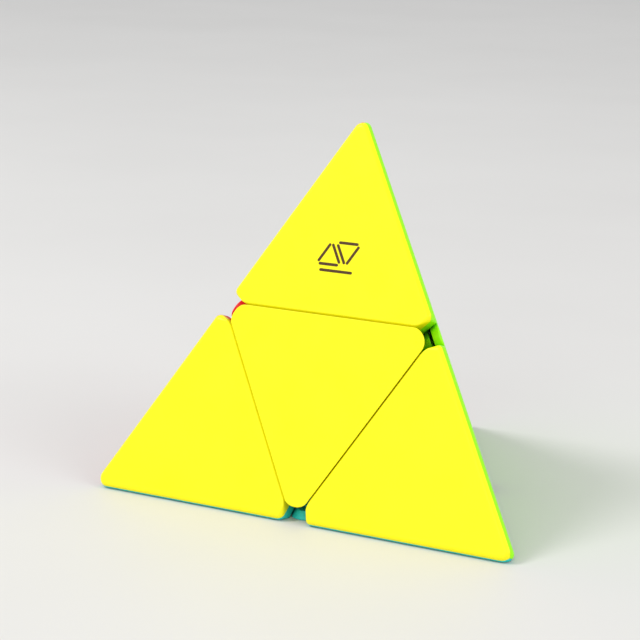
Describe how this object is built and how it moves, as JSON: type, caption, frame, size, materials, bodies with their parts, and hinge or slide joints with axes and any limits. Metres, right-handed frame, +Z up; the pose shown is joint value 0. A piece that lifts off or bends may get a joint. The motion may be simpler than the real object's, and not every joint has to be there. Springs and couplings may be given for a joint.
{
  "type": "pyramid twisty puzzle",
  "caption": "Tetrahedral twisty puzzle whose coloured corners and centres turn in layers about a hidden spring-loaded core.",
  "frame": {"origin": "middle of the base face, on the surface that the puzzle stands on", "axes": "+Z up through the top corner; the front (yellow) face looks towards -Y and leans back; +X to the right"},
  "size_m": [0.0984, 0.0856, 0.0804],
  "materials": {
    "yellow_plastic": "satin",
    "green_plastic": "satin",
    "red_plastic": "satin",
    "blue_plastic": "satin",
    "black_plastic": "satin",
    "steel": "brushed"
  },
  "bodies": {
    "base_centre": {"base_centre_tile": "blue_plastic", "base_centre_body": "blue_plastic", "core": "black_plastic", "screw_front_right": "steel", "screw_base_left": "steel", "screw_back": "steel", "screw_base_front": "steel", "screw_front_left": "steel", "screw_base_right": "steel", "spring_front_right": "steel", "spring_base_left": "steel", "spring_back": "steel", "spring_base_front": "steel", "spring_front_left": "steel", "spring_base_right": "steel", "cap_base_left": "black_plastic", "cap_base_front": "black_plastic", "cap_base_right": "black_plastic", "inner_edge_base_left_to_base_front": "black_plastic", "inner_edge_base_right_to_base_left": "black_plastic", "inner_edge_base_front_to_base_right": "black_plastic"},
    "right_corner": {"right_corner_body": "black_plastic", "right_corner_yellow_shell": "yellow_plastic", "right_corner_green_shell": "green_plastic", "right_corner_blue_shell": "blue_plastic", "cap_front_right": "black_plastic", "inner_edge_base_front_to_front_right": "black_plastic", "inner_edge_front_right_to_base_right": "black_plastic"},
    "left_corner": {"left_corner_body": "black_plastic", "left_corner_yellow_shell": "yellow_plastic", "left_corner_red_shell": "red_plastic", "left_corner_blue_shell": "blue_plastic", "cap_front_left": "black_plastic", "inner_edge_base_left_to_front_left": "black_plastic", "inner_edge_front_left_to_base_front": "black_plastic"},
    "back_corner": {"back_corner_body": "black_plastic", "back_corner_green_shell": "green_plastic", "back_corner_red_shell": "red_plastic", "back_corner_blue_shell": "blue_plastic", "cap_back": "black_plastic", "inner_edge_back_to_base_left": "black_plastic", "inner_edge_base_right_to_back": "black_plastic"},
    "front_centre": {"front_centre_tile": "yellow_plastic", "front_centre_body": "yellow_plastic", "inner_edge_front_left_to_front_right": "black_plastic"},
    "right_centre": {"right_centre_tile": "green_plastic", "right_centre_body": "green_plastic", "inner_edge_front_right_to_back": "black_plastic"},
    "left_centre": {"left_centre_tile": "red_plastic", "left_centre_body": "red_plastic", "inner_edge_back_to_front_left": "black_plastic"},
    "top_corner": {"top_corner_body": "black_plastic", "top_corner_yellow_shell": "yellow_plastic", "top_corner_green_shell": "green_plastic", "top_corner_red_shell": "red_plastic"}
  },
  "joints": [
    {"name": "right_turn", "type": "hinge", "parent": "base_centre", "child": "right_corner", "pos_m": [0, 0, 0.02082], "axis": [0.7071, -0.4082, 0.5774], "continuous": true},
    {"name": "right_turn_front_centre", "type": "hinge", "parent": "left_corner", "child": "front_centre", "pos_m": [0, 0, 0.02082], "axis": [0.7071, -0.4082, 0.5774], "continuous": true},
    {"name": "left_turn", "type": "hinge", "parent": "base_centre", "child": "left_corner", "pos_m": [0, 0, 0.02082], "axis": [-0.7071, -0.4082, 0.5774], "range_deg": [-360, 360]},
    {"name": "back_turn", "type": "hinge", "parent": "base_centre", "child": "back_corner", "pos_m": [0, 0, 0.02082], "axis": [0, 0.8165, 0.5774], "range_deg": [-360, 360]},
    {"name": "back_turn_right_centre", "type": "hinge", "parent": "right_corner", "child": "right_centre", "pos_m": [0, 0, 0.02082], "axis": [0, 0.8165, 0.5774], "range_deg": [-360, 360]},
    {"name": "back_turn_left_centre", "type": "hinge", "parent": "left_corner", "child": "left_centre", "pos_m": [0, 0, 0.02082], "axis": [0, 0.8165, 0.5774], "range_deg": [-360, 360]},
    {"name": "back_turn_top_corner", "type": "hinge", "parent": "front_centre", "child": "top_corner", "pos_m": [0, 0, 0.02082], "axis": [0, 0.8165, 0.5774], "range_deg": [-360, 360]}
  ],
  "couplings": [
    {"joint": "right_turn_front_centre", "follows": "right_turn", "ratio": 1},
    {"joint": "back_turn_right_centre", "follows": "back_turn", "ratio": 1},
    {"joint": "back_turn_left_centre", "follows": "back_turn", "ratio": 1},
    {"joint": "back_turn_top_corner", "follows": "back_turn", "ratio": 1}
  ]
}
